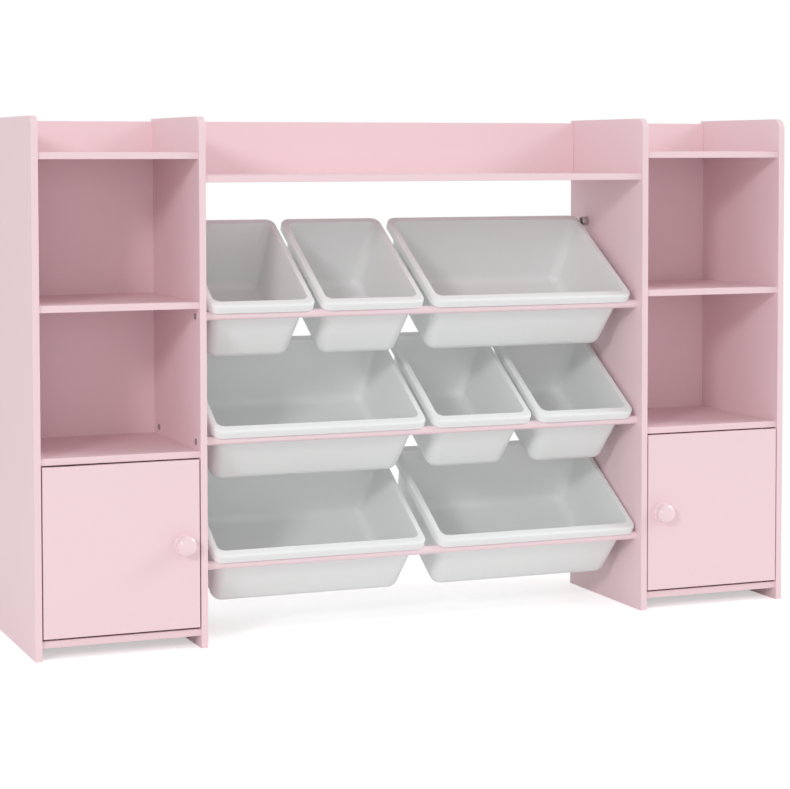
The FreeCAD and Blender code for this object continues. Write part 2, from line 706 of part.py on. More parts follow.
def make_side_stop():
    """Hollow stop on the right inner panel, level with the rims of the top row."""
    name = "bin_side_stop"
    along = less(size("bin_length"), size("stop_rear_distance"))
    y = add(BIN_FRONT_Y, f"({along}) * {TILT_COS}")
    z = add(ROW_HEIGHTS["top"], BIN_FRONT_RISE, f"({along}) * {TILT_SIN}")
    end = less(RIGHT_INNER, size("stop_length"))
    seat = less(RIGHT_INNER, size("stop_floor"))
    blank = cylinder(name + "_blank", "x", size("stop_radius"), size("stop_length"), end, y, z)
    hollow = cylinder(name + "_hollow", "x", less(size("stop_radius"), size("stop_wall")),
                      less(size("stop_length"), size("stop_floor")), end, y, z)
    hole = cylinder(name + "_hole", "x", add(size("stop_screw_radius"), FIT),
                    size("stop_floor"), seat, y, z)
    sub_parts[name] = drilled(name, blank, [hollow, hole])
    sub_parts["side_stop_screw"] = screw(
        "side_stop_screw", "x", 1, size("stop_screw_radius"),
        add(size("stop_floor"), size("stop_screw_bite")), size("stop_screw_head_radius"),
        size("stop_screw_head_height"), seat, y, z)
    panel_tools["right_inner_panel"].append(cylinder(
        name + "_pilot", "x", size("stop_screw_radius"), size("stop_screw_bite"),
        RIGHT_INNER, y, z))


# ---------------------------------------------------------------- bins
END_RIM = add(size("bin_wall"), size("rod_seat_offset"), size("rod_radius"),
              size("rod_tub_clearance"))


def bin_body(name, width):
    """Moulded bin: tapered tub with a flat crowned rim and a turned-down lip.  Its local X
    runs across the bin, Y up the slope and Z square to the rim."""
    wall = size("bin_wall")
    body = doc.addObject("PartDesign::Body", name)

    def outline(label, side_inset, end_inset, corner, drop="0"):
        return rounded_sketch(body, f"{name}_{label}", f"{width} - 2 * ({side_inset})",
                              f"{size('bin_length')} - 2 * ({end_inset})", corner, drop)

    pad(body, name + "_rim", outline("rim_outline", "0", "0", size("rim_corner")),
        size("lip_depth"), downward=True)
    crown = fillet(body, name + "_crown", size("rim_crown"),
                   lambda point: abs(point.z) < NEAR)
    channel = body.newObject("PartDesign::Pocket", name + "_channel")
    channel.Profile = outline("channel_outline", wall, wall, less(size("rim_corner"), wall),
                              size("lip_depth"))
    channel.setExpression("Length", less(size("lip_depth"), wall))
    channel.Reversed = True
    doc.recompute()
    if not channel.Shape.Volume < crown.Shape.Volume:
        raise RuntimeError(name + ": the rim's underside was not cut")

    side_rim = size("side_rim_width")
    side_mouth = less(side_rim, wall)
    end_mouth = less(END_RIM, wall)
    narrowing = size("floor_inset")
    tub = body.newObject("PartDesign::AdditiveLoft", name + "_tub")
    tub.Profile = outline("tub_mouth", side_mouth, end_mouth, add(size("mouth_corner"), wall))
    tub.Sections = [outline("tub_floor", add(side_mouth, narrowing), add(end_mouth, narrowing),
                            add(size("floor_corner"), wall), size("bin_height"))]
    tub.Ruled = True
    cavity = body.newObject("PartDesign::SubtractiveLoft", name + "_cavity")
    cavity.Profile = outline("cavity_mouth", side_rim, END_RIM, size("mouth_corner"))
    cavity.Sections = [outline("cavity_floor", add(side_rim, narrowing),
                               add(END_RIM, narrowing), size("floor_corner"),
                               less(size("bin_height"), wall))]
    cavity.Ruled = True
    doc.recompute()

    outside_floor = -sheet.get("bin_height")
    inside_floor = outside_floor + sheet.get("bin_wall")
    fillet(body, name + "_inside_round", less(size("floor_round"), wall),
           lambda point: abs(point.z - inside_floor) < NEAR)
    fillet(body, name + "_outside_round", size("floor_round"),
           lambda point: abs(point.z - outside_floor) < NEAR)
    doc.recompute()
    half = body.Tip.Shape.BoundBox.XMax
    length = sheet.get("bin_length")

    fillet(body, name + "_mouth_round", size("mouth_round"),
           lambda point: abs(point.z) < NEAR and inside_crown(point, half, length))
    return body


def inside_crown(point, half_width, length):
    """True where a point of the rim plane lies within the edge that the crown leaves."""
    corner = sheet.get("rim_corner")
    reach_x = max(0, abs(point.x) - (half_width - corner))
    reach_y = max(0, abs(point.y - length / 2) - (length / 2 - corner))
    return math.hypot(reach_x, reach_y) < corner - sheet.get("rim_crown") - NEAR


# ---------------------------------------------------------------- build everything
make_side_cabinet("left", LEFT_BAY, "left_outer_panel", "left_inner_panel")
make_side_cabinet("right", RIGHT_BAY, "right_inner_panel", "right_outer_panel")
make_centre_shelf()
for row, height in ROW_HEIGHTS.items():
    make_bolted_rod(f"front_rod_{row}", FRONT_ROD_Y, height)
    make_bolted_rod(f"rear_rod_{row}", REAR_ROD_Y, add(height, REAR_ROD_RISE))
make_side_stop()
panel_drawing = panel_body("panel_drawing")
for name, left in PANEL_PLACES.items():
    blank = place(copy_of(panel_drawing, name + "_blank"), left, FRONT, "0")
    sub_parts[name] = drilled(name, blank, panel_tools[name])
door_drawing = door_body("door_drawing")
for hand in ("left", "right"):
    make_pivot_bushes(hand)
    make_door(hand)
sub_parts["cam_bolts"] = group("cam_bolts", cam_bolts)
sub_parts["cam_nuts"] = group("cam_nuts", cam_nuts)
sub_parts["board_dowels"] = group("board_dowels", board_dowels)
sub_parts["back_screws"] = group("back_screws", back_screws)
sub_parts["rod_bolts"] = group("rod_bolts", rod_bolts)

BIN_WIDTHS = {"small": SMALL_BIN, "large": LARGE_BIN}
bin_drawings = {kind: bin_body(kind + "_bin_drawing", width)
                for kind, width in BIN_WIDTHS.items()}
BIN_KINDS = {
    "top": {"left": "small", "middle": "small", "right": "large"},
    "middle": {"left": "large", "middle": "small", "right": "small"},
    "bottom": {"left": "large", "right": "large"},
}


def bin_left_edge(row, spot):
    """The outer bins keep a distance from the panels, or from the stop in the top row, and
    the middle one keeps a distance from its neighbour."""
    room = size(f"{row}_{spot}_room")
    if spot == "left":
        return add(CENTRE_BAY_LEFT, room)
    if spot == "middle":
        return add(bin_left_edge(row, "left"), BIN_WIDTHS[BIN_KINDS[row]["left"]], room)
    limit = less(RIGHT_INNER, size("stop_length")) if row == "top" else RIGHT_INNER
    return less(limit, room, BIN_WIDTHS[BIN_KINDS[row][spot]])


for row, kinds in BIN_KINDS.items():
    for spot, kind in kinds.items():
        tilted = copy_of(bin_drawings[kind], f"bin_{row}_{spot}")
        tilted.Placement = FreeCAD.Placement(FreeCAD.Vector(), FreeCAD.Rotation(
            FreeCAD.Vector(1, 0, 0), sheet.get("bin_tilt")))
        tilted.setExpression(".Placement.Rotation.Angle", size("bin_tilt"))
        place(tilted,
              add(bin_left_edge(row, spot), f"{BIN_WIDTHS[kind]} / 2"),
              BIN_FRONT_Y, add(ROW_HEIGHTS[row], BIN_FRONT_RISE))
        sub_parts[tilted.Name] = tilted

# ---------------------------------------------------------------- check and write
doc.recompute()
for obj in doc.Objects:
    if "Invalid" in obj.State or "Error" in obj.State:
        raise RuntimeError(f"{obj.Label} failed: {obj.State}")
os.makedirs("parts", exist_ok=True)
for name, part in sub_parts.items():
    part.Label = name
    shape = part.Shape
    if shape.isNull() or not shape.isValid() or not shape.Solids:
        raise RuntimeError(f"{name} has no valid solid")
    shape.exportStep(f"parts/{name}.step")
    print(f"{name}: {len(shape.Solids)} solid(s), {shape.Volume / 1000:.1f} cm3")
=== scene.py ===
import json
import math

import bmesh
import bpy
from mathutils import Euler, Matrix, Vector


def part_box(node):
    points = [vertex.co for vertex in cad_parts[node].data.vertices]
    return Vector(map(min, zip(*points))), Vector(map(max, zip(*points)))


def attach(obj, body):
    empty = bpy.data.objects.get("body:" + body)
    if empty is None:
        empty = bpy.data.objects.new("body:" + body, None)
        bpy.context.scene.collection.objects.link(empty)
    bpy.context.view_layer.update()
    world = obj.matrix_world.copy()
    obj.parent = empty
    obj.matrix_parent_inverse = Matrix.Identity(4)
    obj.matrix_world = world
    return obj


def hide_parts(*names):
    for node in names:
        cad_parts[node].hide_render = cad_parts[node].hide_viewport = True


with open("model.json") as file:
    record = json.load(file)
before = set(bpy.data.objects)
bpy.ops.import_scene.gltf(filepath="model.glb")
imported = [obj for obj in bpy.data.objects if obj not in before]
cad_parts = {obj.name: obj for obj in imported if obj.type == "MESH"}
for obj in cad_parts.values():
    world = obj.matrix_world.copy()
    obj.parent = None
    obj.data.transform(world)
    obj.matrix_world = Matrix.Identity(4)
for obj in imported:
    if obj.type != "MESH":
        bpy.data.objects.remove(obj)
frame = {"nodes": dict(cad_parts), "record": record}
nodes = frame["nodes"]
body_of_node = {node: body for body, members in frame["record"]["behaviour"]["bodies"].items()
                for node in members}
bin_nodes = {node for node in nodes if node.startswith("bin_") and body_of_node[node] == node}
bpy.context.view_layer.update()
scene = bpy.context.scene
scene.view_settings.view_transform = "Standard"

# ------------------------------------------------------------------ camera
CAMERA_PLACE = Vector((-1.5501, -3.8283, 0.8476))
CAMERA_YAW = 0.3807
CAMERA_PITCH = 0.05044
CAMERA_ROLL = -0.00152
CAMERA_LENS = 103.054
CAMERA_SENSOR = 36
CAMERA_SHIFT = -0.16


def make_camera():
    data = bpy.data.cameras.new("camera")
    data.lens = CAMERA_LENS
    data.sensor_width = CAMERA_SENSOR
    data.shift_y = CAMERA_SHIFT
    camera = bpy.data.objects.new("camera", data)
    camera.location = CAMERA_PLACE
    turn = Euler((math.pi / 2 - CAMERA_PITCH, 0, -CAMERA_YAW)).to_matrix()
    camera.rotation_euler = (turn @ Euler((0, 0, CAMERA_ROLL)).to_matrix()).to_euler()
    scene.collection.objects.link(camera)
    scene.camera = camera


# ------------------------------------------------------------------ shader building
# Where a Mix node keeps the two colours it takes and the one it gives.
MIX_COLOUR_A = 6
MIX_COLOUR_B = 7
MIX_COLOUR_RESULT = 2


def new_material(name):
    material = bpy.data.materials.new(name)
    material.use_nodes = True
    tree = material.node_tree
    tree.nodes.clear()
    output = tree.nodes.new("ShaderNodeOutputMaterial")
    surface = tree.nodes.new("ShaderNodeBsdfPrincipled")
    tree.links.new(surface.outputs["BSDF"], output.inputs["Surface"])
    return material, tree, surface


def add_node(tree, kind, inputs=(), **settings):
    made = tree.nodes.new(kind)
    for name, value in settings.items():
        setattr(made, name, value)
    for name, value in dict(inputs).items():
        if isinstance(value, bpy.types.NodeSocket):
            tree.links.new(value, made.inputs[name])
        else:
            made.inputs[name].default_value = value
    return made


def new_group(name, inputs, outputs):
    """Shader node group whose sockets are all plain numbers."""
    group = bpy.data.node_groups.new(name, "ShaderNodeTree")
    for socket, default in inputs.items():
        made = group.interface.new_socket(socket, in_out="INPUT", socket_type="NodeSocketFloat")
        made.default_value = default
    for socket in outputs:
        group.interface.new_socket(socket, in_out="OUTPUT", socket_type="NodeSocketFloat")
    return group, group.nodes.new("NodeGroupInput"), group.nodes.new("NodeGroupOutput")


def make_mottle_group():
    """Broad, soft variation with fine speckle on it: how evenly a coat or a moulding came out."""
    group, given, result = new_group("mottle", {"Broad Scale": 6, "Fine Scale": 300,
                                                "Fine Share": 0.3}, ["Mask", "Height"])
    place = add_node(group, "ShaderNodeTexCoord").outputs["Object"]
    broad = add_node(group, "ShaderNodeTexNoise", {"Vector": place, "Detail": 3,
                                                   "Scale": given.outputs["Broad Scale"]})
    fine = add_node(group, "ShaderNodeTexNoise", {"Vector": place, "Detail": 2,
                                                  "Scale": given.outputs["Fine Scale"]})
    mixed = add_node(group, "ShaderNodeMix", {"Factor": given.outputs["Fine Share"],
                                              "A": broad.outputs["Fac"],
                                              "B": fine.outputs["Fac"]})
    group.links.new(mixed.outputs["Result"], result.inputs["Mask"])
    group.links.new(fine.outputs["Fac"], result.inputs["Height"])
    return group


def make_streak_group():
    """Fine lines drawn out along the piece's X axis: brushed metal or the grain of a dowel."""
    group, given, result = new_group("streaks", {"Stretch": 0.04, "Scale": 900}, ["Mask"])
    place = add_node(group, "ShaderNodeTexCoord").outputs["Object"]
    split = add_node(group, "ShaderNodeSeparateXYZ", {"Vector": place})
    along = add_node(group, "ShaderNodeMath", {0: split.outputs["X"],
                                               1: given.outputs["Stretch"]},
                     operation="MULTIPLY")
    drawn = add_node(group, "ShaderNodeCombineXYZ", {"X": along.outputs[0],
                                                     "Y": split.outputs["Y"],
                                                     "Z": split.outputs["Z"]})
    lines = add_node(group, "ShaderNodeTexNoise", {"Vector": drawn.outputs[0], "Detail": 4,
                                                   "Scale": given.outputs["Scale"]})
    group.links.new(lines.outputs["Fac"], result.inputs["Mask"])
    return group


MOTTLE = make_mottle_group()
STREAKS = make_streak_group()


def finish(name, pale, deep, roughness, mask, height, bump, shader):
    """Material whose colour and gloss follow a group's mask and whose relief follows its height.
    mask and height are (group, its settings, the name of its output)."""
    material, tree, surface = new_material(name)

    def output_of(group, settings, output):
        made = add_node(tree, "ShaderNodeGroup", node_tree=group)
        for socket, value in settings.items():
            made.inputs[socket].default_value = value
        return made.outputs[output]

    shade = output_of(*mask)
    colour = add_node(tree, "ShaderNodeMix", {"Factor": shade}, data_type="RGBA")
    colour.inputs[MIX_COLOUR_A].default_value = (*deep, 1)
    colour.inputs[MIX_COLOUR_B].default_value = (*pale, 1)
    tree.links.new(colour.outputs[MIX_COLOUR_RESULT], surface.inputs["Base Color"])
    gloss = add_node(tree, "ShaderNodeMapRange", {"Value": shade, "To Min": roughness[0],
                                                  "To Max": roughness[1]})
    tree.links.new(gloss.outputs["Result"], surface.inputs["Roughness"])
    relief = add_node(tree, "ShaderNodeBump", {"Height": output_of(*height), "Distance": bump,
                                               "Strength": 1.0})
    tree.links.new(relief.outputs["Normal"], surface.inputs["Normal"])
    for socket, value in shader.items():
        surface.inputs[socket].default_value = value
    return material


def coat(name, pale, deep, roughness, broad_scale, fine_scale, bump, **shader):
    """Paint or moulded plastic, evenly mottled, with a fine orange-peel relief."""
    settings = {"Broad Scale": broad_scale, "Fine Scale": fine_scale}
    return finish(name, pale, deep, roughness, (MOTTLE, settings, "Mask"),
                  (MOTTLE, settings, "Height"), bump, shader)


def drawn_out(name, pale, deep, roughness, stretch, scale, bump, **shader):
    """Brushed metal or wood, with fine lines along X."""
    settings = {"Stretch": stretch, "Scale": scale}
    return finish(name, pale, deep, roughness, (STREAKS, settings, "Mask"),
                  (STREAKS, settings, "Mask"), bump, shader)


def make_materials():
    return {
        "pink_board": coat("pink_paint", (0.89, 0.68, 0.715), (0.87, 0.66, 0.695),
                           (0.42, 0.52), 5, 420, 0.00006, **{"Specular IOR Level": 0.3}),
        "knob": coat("pink_gloss_paint", (0.89, 0.69, 0.725), (0.87, 0.67, 0.705),
                     (0.14, 0.22), 12, 600, 0.00003, **{"Coat Weight": 0.4}),
        "pink_rod": coat("pink_powder_coat", (0.89, 0.70, 0.735), (0.87, 0.68, 0.715),
                         (0.35, 0.45), 9, 900, 0.00005),
        "bin_plastic": coat("white_moulded_plastic", (0.87, 0.885, 0.88), (0.85, 0.865, 0.86),
                            (0.40, 0.50), 7, 700, 0.00004),
        "bright_steel": drawn_out("bright_steel", (0.66, 0.65, 0.64), (0.46, 0.45, 0.44),
                                  (0.18, 0.32), 0.03, 2600, 0.00003, **{"Metallic": 1.0}),
        "zinc": coat("zinc_plate", (0.46, 0.45, 0.43), (0.30, 0.29, 0.28),
                     (0.28, 0.48), 160, 1800, 0.00003, **{"Metallic": 1.0}),
        "beech": drawn_out("beech", (0.60, 0.42, 0.24), (0.42, 0.27, 0.14),
                           (0.50, 0.72), 0.05, 1100, 0.00012),
        "nylon": coat("black_nylon", (0.040, 0.040, 0.043), (0.022, 0.022, 0.024),
                      (0.38, 0.52), 40, 900, 0.00004),
    }


# ------------------------------------------------------------------ floor, backdrop and light
WHITE_WORLD_LIGHT = 0.64
FLOOR_WHITE = (0.92, 0.92, 0.92, 1)
FLOOR_SIDE = 12
FLOOR_SOLID_REACH = 1.3
FLOOR_FADE_REACH = 3.0
FLOOR_GLOW = 0.45
LIGHTS_AIM = (0, 0, 0.45)
# name, place, side and power of each square lamp
LAMPS = (
    ("key", (-5.98, -5.98, 3.53), 1.3, 171),
    ("low_fill", (-2.32, -8.67, 1.08), 3.0, 52),
    ("right_fill", (7.53, -2.02, 4.95), 3.0, 277),
)


def camera_or_mirror_ray(tree):
    """1 where a ray comes from the camera or a mirror-like surface, else 0."""
    path = add_node(tree, "ShaderNodeLightPath")
    mirrored = add_node(tree, "ShaderNodeMath", {0: path.outputs["Is Glossy Ray"],
                                                 1: path.outputs["Is Transmission Ray"]},
                        operation="MAXIMUM")
    return add_node(tree, "ShaderNodeMath", {0: path.outputs["Is Camera Ray"],
                                             1: mirrored.outputs[0]},
                    operation="MAXIMUM").outputs[0]


def make_backdrop():
    world = bpy.data.worlds.new("studio")
    scene.world = world
    world.use_nodes = True
    tree = world.node_tree
    tree.nodes.clear()
    seen = camera_or_mirror_ray(tree)
    strength = add_node(tree, "ShaderNodeMapRange", {"Value": seen, "To Min": WHITE_WORLD_LIGHT,
                                                     "To Max": 1.0})
    light = add_node(tree, "ShaderNodeBackground", {"Color": (1, 1, 1, 1),
                                                    "Strength": strength.outputs["Result"]})
    output = add_node(tree, "ShaderNodeOutputWorld")
    tree.links.new(light.outputs[0], output.inputs["Surface"])


def make_floor():
    bpy.ops.mesh.primitive_plane_add(size=FLOOR_SIDE, location=(0, 0, 0))
    floor = bpy.context.object
    floor.name = "floor"
    material = bpy.data.materials.new("floor_white")
    material.use_nodes = True
    tree = material.node_tree
    tree.nodes.clear()
    matt = add_node(tree, "ShaderNodeBsdfDiffuse", {"Color": FLOOR_WHITE})
    seen = camera_or_mirror_ray(tree)
    glow_strength = add_node(tree, "ShaderNodeMath", {0: seen, 1: FLOOR_GLOW},
                             operation="MULTIPLY")
    glow = add_node(tree, "ShaderNodeEmission", {"Strength": glow_strength.outputs[0]})
    both = add_node(tree, "ShaderNodeAddShader")
    tree.links.new(matt.outputs[0], both.inputs[0])
    tree.links.new(glow.outputs[0], both.inputs[1])
    place = add_node(tree, "ShaderNodeTexCoord").outputs["Object"]
    reach = add_node(tree, "ShaderNodeVectorMath", {0: place}, operation="LENGTH")
    fade = add_node(tree, "ShaderNodeMapRange", {"Value": reach.outputs["Value"],
                                                 "From Min": FLOOR_SOLID_REACH,
                                                 "From Max": FLOOR_FADE_REACH},
                    interpolation_type="SMOOTHSTEP")
    clear = add_node(tree, "ShaderNodeBsdfTransparent")
    faded = add_node(tree, "ShaderNodeMixShader", {"Fac": fade.outputs["Result"]})
    tree.links.new(both.outputs[0], faded.inputs[1])
    tree.links.new(clear.outputs[0], faded.inputs[2])
    output = add_node(tree, "ShaderNodeOutputMaterial")
    tree.links.new(faded.outputs[0], output.inputs["Surface"])
    floor.data.materials.append(material)


def make_lights():
    for name, place, side, power in LAMPS:
        data = bpy.data.lights.new(name, "AREA")
        data.shape = "SQUARE"
        data.size = side
        data.energy = power
        lamp = bpy.data.objects.new(name, data)
        lamp.location = place
        towards = Vector(LIGHTS_AIM) - Vector(place)
        lamp.rotation_euler = towards.to_track_quat("-Z", "Y").to_euler()
        scene.collection.objects.link(lamp)


# ------------------------------------------------------------------ working by hand
SMOOTH_ANGLE = math.radians(35)
SHARP_ANGLE = math.radians(50)
MERGE_DISTANCE = 0.00001
FACING = 0.95
X, Y, Z = range(3)
LOW_END, HIGH_END = range(2)
ALONG_X = (0, math.pi / 2, 0)
ALONG_Y = (math.pi / 2, 0, 0)
ALONG_Z = (0, 0, 0)
KEY_POINT_RIM = 1 / 8
KEY_POINT_STRETCH = 1.2


def pick(*pieces):
    """Select these pieces only, the first of them active."""
    bpy.ops.object.select_all(action="DESELECT")
    for piece in pieces:
        piece.select_set(True)
    bpy.context.view_layer.objects.active = pieces[0]


def settle(piece):
    """Move the piece's place and turn into its mesh."""
    pick(piece)
    bpy.ops.object.transform_apply(location=True, rotation=True, scale=True)


def edit(piece):
    pick(piece)
    bpy.ops.object.mode_set(mode="EDIT")
    bpy.ops.mesh.select_all(action="DESELECT")


def leave_edit():
    bpy.ops.object.mode_set(mode="OBJECT")


def choose(piece, kind, test):
    """In edit mode, select the faces or edges that pass the test, and nothing else."""
    mesh = bmesh.from_edit_mesh(piece.data)
    mesh.select_mode = {"FACE"} if kind == "faces" else {"EDGE"}
    for item in mesh.verts[:] + mesh.edges[:] + mesh.faces[:]:
        item.select = False
    for item in getattr(mesh, kind):
        if test(item):
            item.select_set(True)
    mesh.select_flush_mode()
    bmesh.update_edit_mesh(piece.data)


def smooth(piece):
    pick(piece)
    bpy.ops.object.shade_smooth_by_angle(angle=SMOOTH_ANGLE)


def round_edges(piece, width, segments=2):
    """Rounds every sharp edge of a small piece."""
    bevel = piece.modifiers.new("round", "BEVEL")
    bevel.width = width
    bevel.segments = segments
    bevel.limit_method = "ANGLE"
    bevel.angle_limit = SHARP_ANGLE
    pick(piece)
    bpy.ops.object.modifier_apply(modifier=bevel.name)


def carve(piece, cutter):
    """Cut the cutter out of the piece and throw the cutter away."""
    boolean = piece.modifiers.new("carve", "BOOLEAN")
    boolean.operation = "DIFFERENCE"
    boolean.object = cutter
    pick(piece)
    bpy.ops.object.modifier_apply(modifier=boolean.name)
    bpy.data.objects.remove(cutter)


def repeated(model, places, turn):
    """One object of a copy of the model at each place.  The model itself is thrown away."""
    copies = []
    for place in places:
        twin = bpy.data.objects.new("twin", model.data.copy())
        twin.location = place
        twin.rotation_euler = turn
        scene.collection.objects.link(twin)
        copies.append(twin)
    bpy.data.objects.remove(model)
    pick(*copies)
    bpy.ops.object.join()
    settle(copies[0])
    return copies[0]


def hex_key(width, depth):
    """Six-sided bar as wide across its flats as the key that fits it, with pointed ends."""
    bpy.ops.object.select_all(action="DESELECT")
    bpy.ops.mesh.primitive_cylinder_add(vertices=6, radius=width / math.sqrt(3), depth=depth)
    key = bpy.context.object
    edit(key)
    choose(key, "faces", lambda face: abs(face.normal.z) > FACING)
    bpy.ops.mesh.inset(thickness=width * KEY_POINT_RIM)
    bpy.ops.transform.resize(value=(1, 1, KEY_POINT_STRETCH), center_override=(0, 0, 0))
    leave_edit()
    return key


def cross_key(arm, reach, depth):
    """Four-armed driver tip: a square bar with an arm drawn out of each side."""
    bpy.ops.object.select_all(action="DESELECT")
    bpy.ops.mesh.primitive_cube_add(size=arm)
    key = bpy.context.object
    edit(key)
    bpy.ops.mesh.select_all(action="SELECT")
    bpy.ops.transform.resize(value=(1, 1, depth / arm), center_override=(0, 0, 0))
    for side in (Vector((1, 0, 0)), Vector((-1, 0, 0)), Vector((0, 1, 0)), Vector((0, -1, 0))):
        choose(key, "faces", lambda face:
               (face.calc_center_median() - side * arm / 2).length < MERGE_DISTANCE)
        bpy.ops.mesh.extrude_region_move(TRANSFORM_OT_translate={
            "value": side * (reach - arm / 2)})
    leave_edit()
    return key


def solids_of(piece):
    """Lowest and highest corner of each separate solid of a merged mesh."""
    mesh = bmesh.new()
    mesh.from_mesh(piece.data)
    boxes = []
    for start in mesh.verts:
        if start.tag:
            continue
        start.tag = True
        reached = [start]
        low, high = start.co.copy(), start.co.copy()
        while reached:
            vert = reached.pop()
            for axis in (X, Y, Z):
                low[axis] = min(low[axis], vert.co[axis])
                high[axis] = max(high[axis], vert.co[axis])
            for line in vert.link_edges:
                other = line.other_vert(vert)
                if not other.tag:
                    other.tag = True
                    reached.append(other)
        boxes.append((low, high))
    mesh.free()
    return boxes


# ------------------------------------------------------------------ pieces that stand for CAD nodes
def merged_copy(node, new_name):
    """Copy of a node with its loose triangles joined."""
    piece = bpy.data.objects.new(new_name, nodes[node].data.copy())
    scene.collection.objects.link(piece)
    mesh = bmesh.new()
    mesh.from_mesh(piece.data)
    bmesh.ops.remove_doubles(mesh, verts=mesh.verts, dist=MERGE_DISTANCE)
    mesh.to_mesh(piece.data)
    mesh.free()
    return piece


def stand_in(piece, node):
    """Let the piece ride on the node's body and show in the node's place."""
    smooth(piece)
    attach(piece, body_of_node[node])
    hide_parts(node)
    return piece


SQUARE_ON = 0.99999


def flatten_faces(piece):
    """Keep the big faces of a board flat-shaded, so that only its rounded edges shade round."""
    for face in piece.data.polygons:
        if max(abs(part) for part in face.normal) > SQUARE_ON:
            face.use_smooth = False


BOARD_EDGE = 0.0005
LONG_EDGE = 0.02
FLAT_ANGLE = math.radians(0.5)


def eased_board(node):
    """Board whose long, square edges are just taken off, as before painting."""
    board = merged_copy(node, node + "_eased")
    edit(board)
    bpy.ops.mesh.select_all(action="SELECT")
    bpy.ops.mesh.dissolve_limited(angle_limit=FLAT_ANGLE)
    choose(board, "edges", lambda line: line.calc_length() > LONG_EDGE and line.is_manifold
           and line.calc_face_angle() > SHARP_ANGLE)
    bpy.ops.mesh.bevel(offset=BOARD_EDGE, segments=2, affect="EDGES")
    bpy.ops.mesh.select_all(action="SELECT")
    bpy.ops.mesh.dissolve_degenerate(threshold=MERGE_DISTANCE)
    leave_edit()
    stand_in(board, node)
    flatten_faces(board)
    return board


KNOB_FOOT = 0.0185
KNOB_FOOT_THICKNESS = 0.0034
KNOB_FOOT_ROUND = 0.0014
KNOB_NECK = 0.0112
KNOB_HEAD = 0.0179
KNOB_HEAD_BACK = 0.0125
KNOB_HEAD_SIDE = 0.0165
KNOB_HEAD_ROUND = 0.0028
KNOB_NECK_FULLNESS = 0.6
KNOB_FLATNESS = 0.62
KNOB_CROWN_END = math.radians(88)
KNOB_FOOT_STEPS = 4
KNOB_NECK_STEPS = 8
KNOB_BACK_STEPS = 6
KNOB_CROWN_STEPS = 16
KNOB_SIDES = 72


def knob_profile(reach):
    """(distance from the door, radius) of each ring of the knob, from the door outwards."""
    rings = [(0, KNOB_FOOT)]
    for step in range(KNOB_FOOT_STEPS + 1):
        turn = math.pi / 2 * step / KNOB_FOOT_STEPS
        rings.append((KNOB_FOOT_THICKNESS - KNOB_FOOT_ROUND * (1 - math.sin(turn)),
                      KNOB_FOOT - KNOB_FOOT_ROUND * (1 - math.cos(turn))))
    neck_span = KNOB_HEAD_BACK - KNOB_FOOT_THICKNESS
    for step in range(1, KNOB_NECK_STEPS):
        share = step / KNOB_NECK_STEPS
        outer = (KNOB_FOOT if share < 0.5 else KNOB_HEAD) - KNOB_FOOT_ROUND
        pull = math.sin(math.pi * share) ** KNOB_NECK_FULLNESS
        rings.append((KNOB_FOOT_THICKNESS + neck_span * share,
                      outer + (KNOB_NECK - outer) * pull))
    back_depth = KNOB_HEAD_SIDE - KNOB_HEAD_BACK
    for step in range(KNOB_BACK_STEPS + 1):
        turn = math.pi / 2 * step / KNOB_BACK_STEPS
        rings.append((KNOB_HEAD_BACK + back_depth * (1 - math.cos(turn)),
                      KNOB_HEAD - KNOB_HEAD_ROUND * (1 - math.sin(turn))))
    for step in range(1, KNOB_CROWN_STEPS + 1):
        turn = KNOB_CROWN_END * step / KNOB_CROWN_STEPS
        rings.append((KNOB_HEAD_SIDE + (reach - KNOB_HEAD_SIDE) * math.sin(turn),
                      KNOB_HEAD * math.cos(turn) ** KNOB_FLATNESS))
    return rings


def turned(name, x, y, z, rings, sides):
    """Round piece drawn out ring by ring towards the front from a disc at x, y, z."""
    bpy.ops.object.select_all(action="DESELECT")
    bpy.ops.mesh.primitive_circle_add(vertices=sides, radius=rings[0][1], fill_type="NGON",
                                      location=(x, y, z), rotation=ALONG_Y)
    piece = bpy.context.object
    piece.name = name
    settle(piece)
    edit(piece)
    bpy.ops.mesh.select_all(action="SELECT")
    for (distance, radius), (next_distance, next_radius) in zip(rings, rings[1:]):
        step = next_distance - distance
        bpy.ops.mesh.extrude_region_move(TRANSFORM_OT_translate={"value": (0, -step, 0)})
        factor = next_radius / radius
        bpy.ops.transform.resize(value=(factor, 1, factor),
                                 center_override=(x, y - next_distance, z))
    bpy.ops.mesh.select_all(action="SELECT")
    bpy.ops.mesh.normals_make_consistent(inside=False)
    leave_edit()
    return piece


def make_knob(hand):
    node = hand + "_knob"
    low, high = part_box(node)
    x, z = (low[0] + high[0]) / 2, (low[2] + high[2]) / 2
    knob = turned(hand + "_turned_knob", x, high[1], z, knob_profile(high[1] - low[1]),
                  KNOB_SIDES)
    return stand_in(knob, node)


HEAD_ROUND = 0.0004
HEX_KEY_WIDTH = 0.004
HEX_DEPTH = 0.0018
CROSS_ARM = 0.0011
CROSS_DEPTH = 0.003
CAM_CROSS_REACH = 0.0035
SCREW_CROSS_REACH = 0.0022
KNOB_SCREW_CROSS_REACH = 0.0028


def make_rod_bolts():
    """Low round bolt heads, each with a socket for a hexagon key."""
    node = "rod_bolts"
    bolts = merged_copy(node, "rod_bolt_heads")
    round_edges(bolts, HEAD_ROUND)
    faces = [((low.x if low.x + high.x < 0 else high.x), (low.y + high.y) / 2,
              (low.z + high.z) / 2) for low, high in solids_of(bolts)]
    carve(bolts, repeated(hex_key(HEX_KEY_WIDTH, HEX_DEPTH), faces, ALONG_X))
    return stand_in(bolts, node)


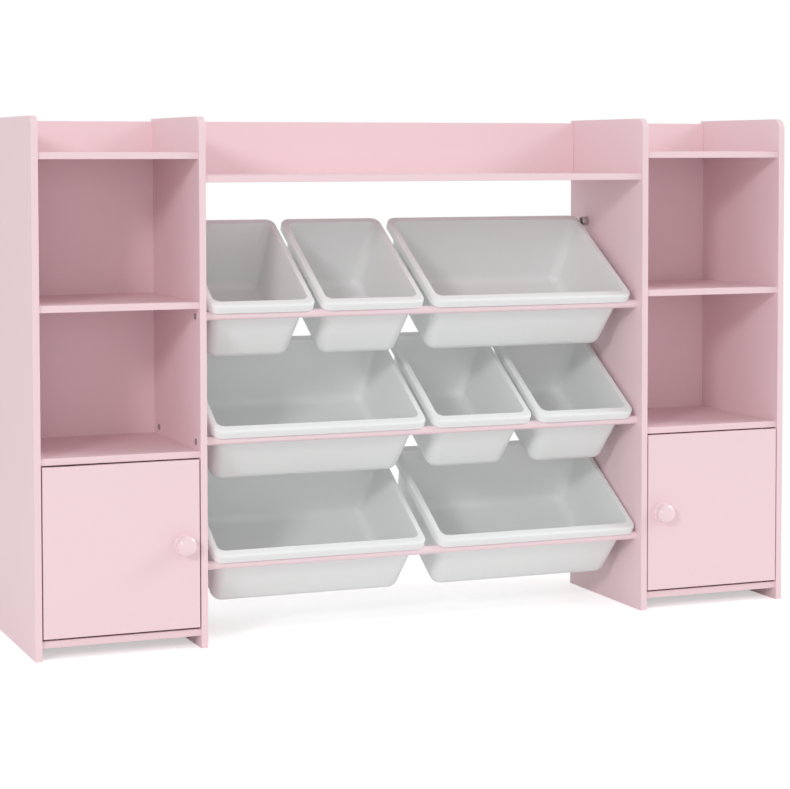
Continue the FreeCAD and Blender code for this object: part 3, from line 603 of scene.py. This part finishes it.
def cross_headed(node, new_name, axis, end, reach):
    """Screws or cams with a cross recess in the low or the high end along their axis."""
    heads = merged_copy(node, new_name)
    turn = (ALONG_X, ALONG_Y, ALONG_Z)[axis]
    faces = []
    for box in solids_of(heads):
        place = (box[0] + box[1]) / 2
        place[axis] = box[end][axis]
        faces.append(place)
    carve(heads, repeated(cross_key(CROSS_ARM, reach, CROSS_DEPTH), faces, turn))
    return stand_in(heads, node)


CATCH_ROUND = 0.0008
MAGNET_INSET = 0.0025
MAGNET_DEPTH = 0.0009


def make_catch(hand):
    """Moulded catch body with the magnet set back in its front."""
    node = hand + "_magnet_catch"
    low, high = (Vector(corner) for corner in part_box(node))
    bpy.ops.object.select_all(action="DESELECT")
    bpy.ops.mesh.primitive_cube_add(size=1, location=(low + high) / 2)
    body = bpy.context.object
    body.name = hand + "_catch_body"
    body.scale = high - low
    settle(body)
    round_edges(body, CATCH_ROUND)
    edit(body)
    choose(body, "faces", lambda face: face.normal.y < -FACING)
    bpy.ops.mesh.inset(thickness=MAGNET_INSET)
    bpy.ops.mesh.extrude_region_move(TRANSFORM_OT_translate={"value": (0, MAGNET_DEPTH, 0)})
    choose(body, "faces", lambda face: face.normal.z < -FACING)
    bpy.ops.mesh.inset(thickness=MAGNET_INSET)
    bpy.ops.mesh.extrude_region_move(TRANSFORM_OT_translate={"value": (0, 0, MAGNET_DEPTH)})
    leave_edit()
    return stand_in(body, node)


SIMPLY_SMOOTH = ("front_rod", "rear_rod", "bushes", "pins")
SOFT_EDGED = ("bin_side_stop", "strike_plate")
BOARDS = ("panel", "shelf", "cabinet_bottom", "cabinet_top", "back_board", "door")


def make_pieces():
    """The piece that shows each node: the node itself, or what stands for it."""
    made = {"rod_bolts": make_rod_bolts(),
            "cam_nuts": cross_headed("cam_nuts", "cam_nut_faces", Z, LOW_END, CAM_CROSS_REACH),
            "back_screws": cross_headed("back_screws", "back_screw_heads", Y, HIGH_END,
                                        SCREW_CROSS_REACH),
            "side_stop_screw": cross_headed("side_stop_screw", "side_stop_screw_head", X,
                                            LOW_END, SCREW_CROSS_REACH)}
    for hand in ("left", "right"):
        made[hand + "_knob"] = make_knob(hand)
        made[hand + "_magnet_catch"] = make_catch(hand)
        screw = hand + "_knob_screw"
        made[screw] = cross_headed(screw, screw + "_head", Y, HIGH_END, KNOB_SCREW_CROSS_REACH)
    for node in sorted(nodes):
        if node in made:
            continue
        if node in bin_nodes or any(part in node for part in SIMPLY_SMOOTH):
            made[node] = stand_in(merged_copy(node, node + "_smooth"), node)
        elif any(part in node for part in SOFT_EDGED):
            piece = merged_copy(node, node + "_rounded")
            round_edges(piece, HEAD_ROUND)
            made[node] = stand_in(piece, node)
        elif any(part in node for part in BOARDS):
            made[node] = eased_board(node)
        else:
            made[node] = nodes[node]
    return made


def dress(pieces, materials):
    """Give every piece the finish of its node's material slot; the knobs take the gloss paint."""
    slots = {entry["node"]: entry["material_slot"] for entry in frame["record"]["subparts"]}
    for node, piece in pieces.items():
        piece.data.materials.clear()
        shade = "knob" if node.endswith("_knob") else slots[node]
        piece.data.materials.append(materials[shade])


make_camera()
make_backdrop()
make_floor()
make_lights()
dress(make_pieces(), make_materials())
